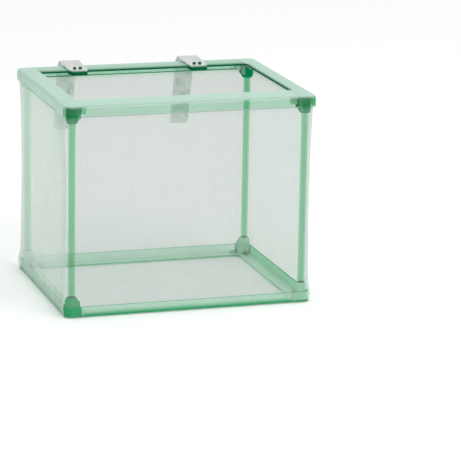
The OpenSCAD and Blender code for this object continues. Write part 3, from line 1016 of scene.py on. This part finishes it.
class PlasticSettings(bpy.types.PropertyGroup):
    """Tinted polystyrene of the rails, corners and posts."""
    tint: hex_value("Tint", "the plastic's depth", "21DD9F")
    deep: hex_value("Deep tint", "thick blocks, and of a post's rim", "038A5A")
    rail_deep: hex_value("Deep tint, rails", "the rails' thin edges, lugs and pegs", "055A38")
    low_deep: hex_value("Deep tint, bottom", "the same on the bottom frame", "059A60")
    glow: hex_value("Edge glow", "a flat at its inner edge", "2E9C6A")
    top_milk: hex_value("Flats", "the milky flats of the top frame", "A2CDBB")
    low_milk: hex_value("Bottom walls", "the cloudy bottom walls", "74C49C")
    core: factor("Block edges", "How deep the top blocks look away from the posts", 0.6)
    rail_depth: amount("Rail depth", "How strongly the rails absorb, per metre", 400.0)
    corner_depth: amount("Corner depth", "How strongly the corners absorb, per metre", 400.0)
    post_depth: amount("Post depth", "How strongly the posts absorb, per metre", 350.0)
    roughness: factor("Roughness", "Roughness of the moulded face", 0.12)
    edge_r: amount("Edge radius", "Radius of the moulded edges, in mm", 0.1, 0.02, 0.5)
    round_over: amount(
        "Outer rounding", "Radius of the top frame's outer edge, in mm", 2.2, 0.2, 3.0)


class NetSettings(bpy.types.PropertyGroup):
    """Nylon gauze bag and its elastic hem."""
    thread_colour: hex_value("Thread", "the net's thread", "D3DCD7")
    spill_colour: hex_value("Spill", "the green light on the net under the rails", "7CCBA2")
    pitch: amount("Mesh", "Distance from thread to thread as drawn, in mm", 1.1, 0.5, 5.0)
    hole_cover: factor("Cover in the holes", "How much the holes hide as drawn", 0.08)
    thread_cover: factor("Cover on the threads", "How much the threads hide as drawn", 0.17)
    floor_share: amount("Floor cover", "That cover on the floor, as a multiple", 1.2, 0.0, 4.0)
    thread_t: amount("Thread", "Thickness of a thread, in mm", 0.16, 0.0, 0.4)
    waist_corner: amount(
        "Waist at corners", "How far the net pulls in at its corners, in mm", 1.2, 0.0, 1.4)
    waist_middle: amount(
        "Waist between", "How far it pulls in between its corners, in mm", 2.0, 0.0, 4.0)
    corner_puff: amount(
        "Bottom corners", "How far its bottom corners stand out, in mm", 1.3, 0.0, 2.0)
    folds: amount("Folds", "Depth of the small folds low on the walls, in mm", 0.5, 0.0, 2.0)


class SteelSettings(bpy.types.PropertyGroup):
    """Stainless steel hangers."""
    colour: hex_value("Colour", "the steel", "D6DAD8")
    roughness: factor("Roughness", "Roughness of the brushed face", 0.3)
    edge_r: amount("Edge radius", "Radius of the deburred edges, in mm", 0.15, 0.02, 0.4)


class StageSettings(bpy.types.PropertyGroup):
    """Camera, floor and light."""
    azimuth: angle("Azimuth", "Camera's turn to the left of the front", 17.83)
    elevation: angle("Elevation", "Camera's angle above the horizon", 14.34)
    roll: angle("Roll", "Camera's tilt about its own axis", 1.04)
    distance: amount("Distance", "From the camera to its target, in metres", 1.754)
    lens: amount("Lens", "Focal length on a sensor 36 mm wide, in mm", 207.39)
    sky: amount("Surround", "Brightness of the white surround", 1.0)
    key: amount("Key light", "Power of the large soft light, in watts", 14.0)


class BreedingBoxSettings(bpy.types.PropertyGroup):
    """All settings of the breeding box."""
    plastic: bpy.props.PointerProperty(type=PlasticSettings)
    net: bpy.props.PointerProperty(type=NetSettings)
    steel: bpy.props.PointerProperty(type=SteelSettings)
    stage: bpy.props.PointerProperty(type=StageSettings)


class BREEDBOX_OT_rails(bpy.types.Operator):
    """Dress the eight angle rails"""
    bl_idname = "breedbox.rails"
    bl_label = "Rails"

    def execute(self, context):
        plastic = context.scene.breeding_box.plastic
        for level, deep, milk, over in (
                ("top", plastic.rail_deep, plastic.top_milk, plastic.round_over),
                ("bottom", plastic.low_deep, plastic.low_milk, 0.0)):
            for sides, flow_mm in (
                    (("front", "back"), (FLOW_L, FLOW_W, FLOW_W)),
                    (("left", "right"), (FLOW_W, FLOW_L, FLOW_W))):
                material = clear_styrene(
                    f"clear styrene, {level} rails {sides[0]}", plastic, deep, milk,
                    plastic.rail_depth, GRAIN, flow_mm)
                for side in sides:
                    dress(
                        f"{level}_rail_{side}", "_moulding", material, "box",
                        plastic.edge_r, over)
        return {"FINISHED"}


class BREEDBOX_OT_corners(bpy.types.Operator):
    """Dress the eight moulded corners"""
    bl_idname = "breedbox.corners"
    bl_label = "Corners"

    def execute(self, context):
        plastic = context.scene.breeding_box.plastic
        for level, deep, milk, over, core in (
                ("top", plastic.deep, plastic.top_milk, plastic.round_over, plastic.core),
                ("bottom", plastic.low_deep, plastic.low_milk, 0.0, 1.0)):
            material = clear_styrene(
                f"clear styrene, {level} corners", plastic, deep, milk,
                plastic.corner_depth, CORNER_GRAIN, [CORNER_FLOW] * 3, core=core)
            for corner in CORNERS:
                dress(
                    f"{level}_corner_{corner}", "_moulding", material, "box",
                    plastic.edge_r, over)
        return {"FINISHED"}


class BREEDBOX_OT_posts(bpy.types.Operator):
    """Dress the four upright posts"""
    bl_idname = "breedbox.posts"
    bl_label = "Posts"

    def execute(self, context):
        plastic = context.scene.breeding_box.plastic
        material = clear_styrene(
            "clear styrene, posts", plastic, plastic.deep, plastic.top_milk,
            plastic.post_depth, GRAIN, (FLOW_W, FLOW_W, FLOW_L), rim=PAINTED_POST_RIM_SHADE)
        for corner in CORNERS:
            dress(f"post_{corner}", "_rod", material, "box", plastic.edge_r)
        return {"FINISHED"}


class BREEDBOX_OT_net_walls(bpy.types.Operator):
    """Draw the net bag's walls round the frame"""
    bl_idname = "breedbox.net_walls"
    bl_label = "Net walls"

    def execute(self, context):
        net = context.scene.breeding_box.net
        loop, arcs = net_loop(NET_STEP, TURN_STEPS)
        count = 54
        heights = [NET_BOTTOM + (NET_TOP - NET_BOTTOM) * i / count for i in range(count + 1)]
        shape = bmesh.new()
        rows = [
            [shape.verts.new(net_line(point, z, net)) for point in loop]
            for z in heights
        ]
        ring_faces(shape, rows, [z * MM for z in heights], arcs)
        mesh = finish_mesh(shape, "net_walls_mesh")
        material = nylon_gauze("nylon gauze", net, 1.0, COVER_ON_FRAME)
        make_piece(
            "net_walls", mesh, material, "box",
            ["net_front", "net_back", "net_left", "net_right"])
        self.threads(net)
        return {"FINISHED"}

    def threads(self, net):
        """Thickness of the upright threads, as fins across the net, so that a
        wall seen at a slant hides more than one seen straight on."""
        foot = NET_BOTTOM + 0.3
        count = 30
        shape = bmesh.new()
        for x, y, out_x, out_y, arc in net_loop(net.pitch, TURN_STEPS)[0]:
            if abs(out_x * out_y) > 0.01:
                continue
            row = []
            for i in range(count + 1):
                z = foot + (SKIRT_FOOT - foot) * i / count
                ease = net_ease(x, y, z, arc, net)
                row.append([
                    shape.verts.new(Vector((
                        x + out_x * (ease + side * net.thread_t / 2),
                        y + out_y * (ease + side * net.thread_t / 2), z)) * MM)
                    for side in (-1, 1)
                ])
            for (low_in, low_out), (high_in, high_out) in zip(row, row[1:]):
                shape.faces.new((low_in, low_out, high_out, high_in))
        mesh = finish_mesh(shape, "net_wall_threads_mesh")
        material = nylon_thread("nylon thread", net.thread_colour)
        make_piece("net_wall_threads", mesh, material, "box")


class BREEDBOX_OT_net_floor(bpy.types.Operator):
    """Lay the net bag's floor"""
    bl_idname = "breedbox.net_floor"
    bl_label = "Net floor"

    def execute(self, context):
        net = context.scene.breeding_box.net
        rings = 22
        sag = 0.10 * MM
        shape = bmesh.new()
        uv = shape.loops.layers.uv.new("flat")
        edge = [net_line(point, NET_BOTTOM, net) for point in net_loop(NET_STEP, TURN_STEPS)[0]]
        rows = []
        for ring in range(rings, 0, -1):
            part = ring / rings
            row = []
            for corner in edge:
                x, y = corner.x * part, corner.y * part
                lift = sag * noise.noise(Vector((x * 60, y * 60, 1.3))) * (1.0 - part ** 6)
                row.append(shape.verts.new((x, y, NET_BOTTOM * MM + lift)))
            rows.append(row)
        faces = []
        for outer, inner in zip(rows, rows[1:]):
            for i in range(len(outer)):
                j = (i + 1) % len(outer)
                faces.append(shape.faces.new((outer[i], outer[j], inner[j], inner[i])))
        faces.append(shape.faces.new(rows[-1]))
        for face in faces:
            for corner in face.loops:
                corner[uv].uv = corner.vert.co.xy
        mesh = finish_mesh(shape, "net_floor_mesh")
        material = nylon_gauze("nylon gauze, floor", net, net.floor_share, 1.0)
        make_piece("net_floor_sheet", mesh, material, "box", ["net_floor"])
        return {"FINISHED"}


class BREEDBOX_OT_net_trim(bpy.types.Operator):
    bl_idname = "breedbox.net_trim"
    bl_label = "Hem and seam"

    def execute(self, context):
        hem = self.hem(clear_elastic("clear elastic", "E4EDE8", HEM_COVER))
        seam = self.seam(
            context.scene.breeding_box.net, overlock_thread("overlock thread", "B9CDC3"))
        return {"FINISHED"}

    def hem(self, material):
        """Elastic tape with rounded edges and four ribs, inside the net's top."""
        loop, arcs = net_loop(0.8 * NET_STEP, TURN_STEPS)
        # Both faces as (outward from the net, share of the tape's height)
        steps = 16
        inner = [
            (HEM_INNER - RIB_H * (0.5 - 0.5 * cos(2 * pi * HEM_RIBS * i / steps)), i / steps)
            for i in range(steps + 1)
        ]
        outer = [(HEM_OUTER, part) for part in (0.98, 0.66, 0.34, 0.02)]
        sections = []
        for *_, arc in loop:
            wave = HEM_PLAY * noise.noise(Vector((arc * 0.2, 0.0, 5.2)))
            push = -NET_T / 2 + wave - HEM_PLAY
            sections.append([
                (push + depth, NET_TOP - HEM_H + HEM_H * part) for depth, part in inner + outer
            ])
        mesh = tube_mesh("net_hem_mesh", loop, arcs, HEM_H, sections)
        return make_piece("net_hem_tape", mesh, material, "box", ["net_hem"])

    def seam(self, net, material):
        """Overlocked bead where the walls meet the floor."""
        loop, arcs = net_loop(0.8, 10)
        turns = [2 * pi * side / 8 for side in range(8)]
        sections = []
        for x, y, *_, arc in loop:
            radius = SEAM_R + SEAM_SWELL * sin(2 * pi * arc / SEAM_TURN)
            push = net_ease(x, y, NET_BOTTOM, arc, net) + SEAM_OUT
            sections.append([
                (push + radius * cos(turn), SEAM_Z + radius * sin(turn)) for turn in turns
            ])
        mesh = tube_mesh("net_seam_mesh", loop, arcs, SEAM_TURN, sections)
        return make_piece("net_bottom_seam", mesh, material, "box")


class BREEDBOX_OT_hangers(bpy.types.Operator):
    """Dress the two steel hangers"""
    bl_idname = "breedbox.hangers"
    bl_label = "Hangers"

    def execute(self, context):
        steel = context.scene.breeding_box.steel
        material = brushed_steel("brushed stainless steel", steel.colour, steel.roughness)
        for side in ("left", "right"):
            dress(
                f"hanger_{side}", "_strip", material, f"{side}_hanger",
                steel.edge_r)
        return {"FINISHED"}


class BREEDBOX_OT_stage(bpy.types.Operator):
    """Set the pale floor, the soft light and the camera at the photo's angle"""
    bl_idname = "breedbox.stage"
    bl_label = "Stage"

    def execute(self, context):
        stage = context.scene.breeding_box.stage
        floor, lamp, camera = self.floor(), self.lamp(stage), self.camera(stage)
        for item in (floor, lamp, camera):
            context.scene.collection.objects.link(item)
        context.scene.camera = camera
        context.scene.world = self.surround(stage)
        context.scene.view_settings.view_transform = "Standard"
        return {"FINISHED"}

    def floor(self):
        """White paper, just under the net's floor."""
        shape = bmesh.new()
        bmesh.ops.create_grid(shape, x_segments=4, y_segments=4, size=8.0)
        mesh = finish_mesh(shape, "floor_mesh")
        mesh.materials.append(paper_floor("white background paper", "FBFCFB", "D4D8D6"))
        floor = bpy.data.objects.new("floor", mesh)
        floor.location.z = -0.05 * MM
        return floor

    def surround(self, stage):
        """White light from all sides, a little brighter from the horizon."""
        world = bpy.data.worlds.new("white surround")
        world.use_nodes = True
        tree = world.node_tree
        tree.nodes.clear()
        way = add_node(tree, "ShaderNodeTexCoord")
        parts = add_node(tree, "ShaderNodeSeparateXYZ", inputs={"Vector": (way, "Generated")})
        back = add_node(tree, "ShaderNodeMapRange", SMOOTH, {
            "Value": (parts, "Z"),
            "From Min": 0.1,
            "From Max": 0.8,
            "To Min": stage.sky * 1.1,
            "To Max": stage.sky * 0.85,
        })
        glow = add_node(tree, "ShaderNodeBackground", inputs={
            "Color": (1.0, 1.0, 1.0, 1.0),
            "Strength": (back, "Result"),
        })
        add_node(tree, "ShaderNodeOutputWorld", inputs={"Surface": (glow, 0)})
        return world

    def lamp(self, stage):
        """Large soft light from above, in front and on the right."""
        panel = bpy.data.lights.new("soft key", "AREA")
        panel.shape = "RECTANGLE"
        panel.size = 1.2
        panel.size_y = 0.9
        panel.energy = stage.key
        lamp = bpy.data.objects.new("soft key", panel)
        place = Vector((0.9, -1.2, 1.6))
        lamp.location = place
        lamp.rotation_euler = (LAMP_TARGET * MM - place).to_track_quat("-Z", "Y").to_euler()
        return lamp

    def camera(self, stage):
        """Camera of the photograph, solved from the box's corners."""
        forward = Vector((
            sin(stage.azimuth) * cos(stage.elevation),
            cos(stage.azimuth) * cos(stage.elevation),
            -sin(stage.elevation),
        ))
        right = Vector((cos(stage.azimuth), -sin(stage.azimuth), 0.0))
        up = right.cross(forward)
        side = right * cos(stage.roll) + up * sin(stage.roll)
        top = up * cos(stage.roll) - right * sin(stage.roll)
        lens = bpy.data.cameras.new("camera")
        lens.sensor_fit = "HORIZONTAL"
        lens.sensor_width = 36.0
        lens.lens = stage.lens
        camera = bpy.data.objects.new("camera", lens)
        turn = Matrix((side, top, -forward)).transposed().to_4x4()
        camera.matrix_world = Matrix.Translation(
            CAMERA_TARGET * MM - forward * stage.distance) @ turn
        return camera


class BREEDBOX_PT_panel(bpy.types.Panel):
    """Builds and tunes the breeding box's looks"""
    bl_label = "Breeding Box"
    bl_idname = "BREEDBOX_PT_panel"
    bl_space_type = "VIEW_3D"
    bl_region_type = "UI"
    bl_category = "Breeding Box"

    def draw(self, context):
        settings = context.scene.breeding_box
        for group in (settings.plastic, settings.net, settings.steel, settings.stage):
            box = self.layout.box()
            for key in group.__annotations__:
                box.prop(group, key)
        for operator in OPERATORS:
            self.layout.operator(operator.bl_idname)


OPERATORS = (
    BREEDBOX_OT_rails,
    BREEDBOX_OT_corners,
    BREEDBOX_OT_posts,
    BREEDBOX_OT_net_walls,
    BREEDBOX_OT_net_floor,
    BREEDBOX_OT_net_trim,
    BREEDBOX_OT_hangers,
    BREEDBOX_OT_stage,
)
CLASSES = (
    PlasticSettings,
    NetSettings,
    SteelSettings,
    StageSettings,
    BreedingBoxSettings,
    *OPERATORS,
    BREEDBOX_PT_panel,
)


def register():
    """Adds the classes and the scene's settings."""
    for item in CLASSES:
        bpy.utils.register_class(item)
    bpy.types.Scene.breeding_box = bpy.props.PointerProperty(type=BreedingBoxSettings)


def unregister():
    """Takes them away again."""
    del bpy.types.Scene.breeding_box
    for item in reversed(CLASSES):
        bpy.utils.unregister_class(item)


def main():
    """Builds every piece in order."""
    register()
    bpy.ops.breedbox.rails()
    bpy.ops.breedbox.corners()
    bpy.ops.breedbox.posts()
    bpy.ops.breedbox.net_walls()
    bpy.ops.breedbox.net_floor()
    bpy.ops.breedbox.net_trim()
    bpy.ops.breedbox.hangers()
    bpy.ops.breedbox.stage()


if __name__ == "__main__":
    main()
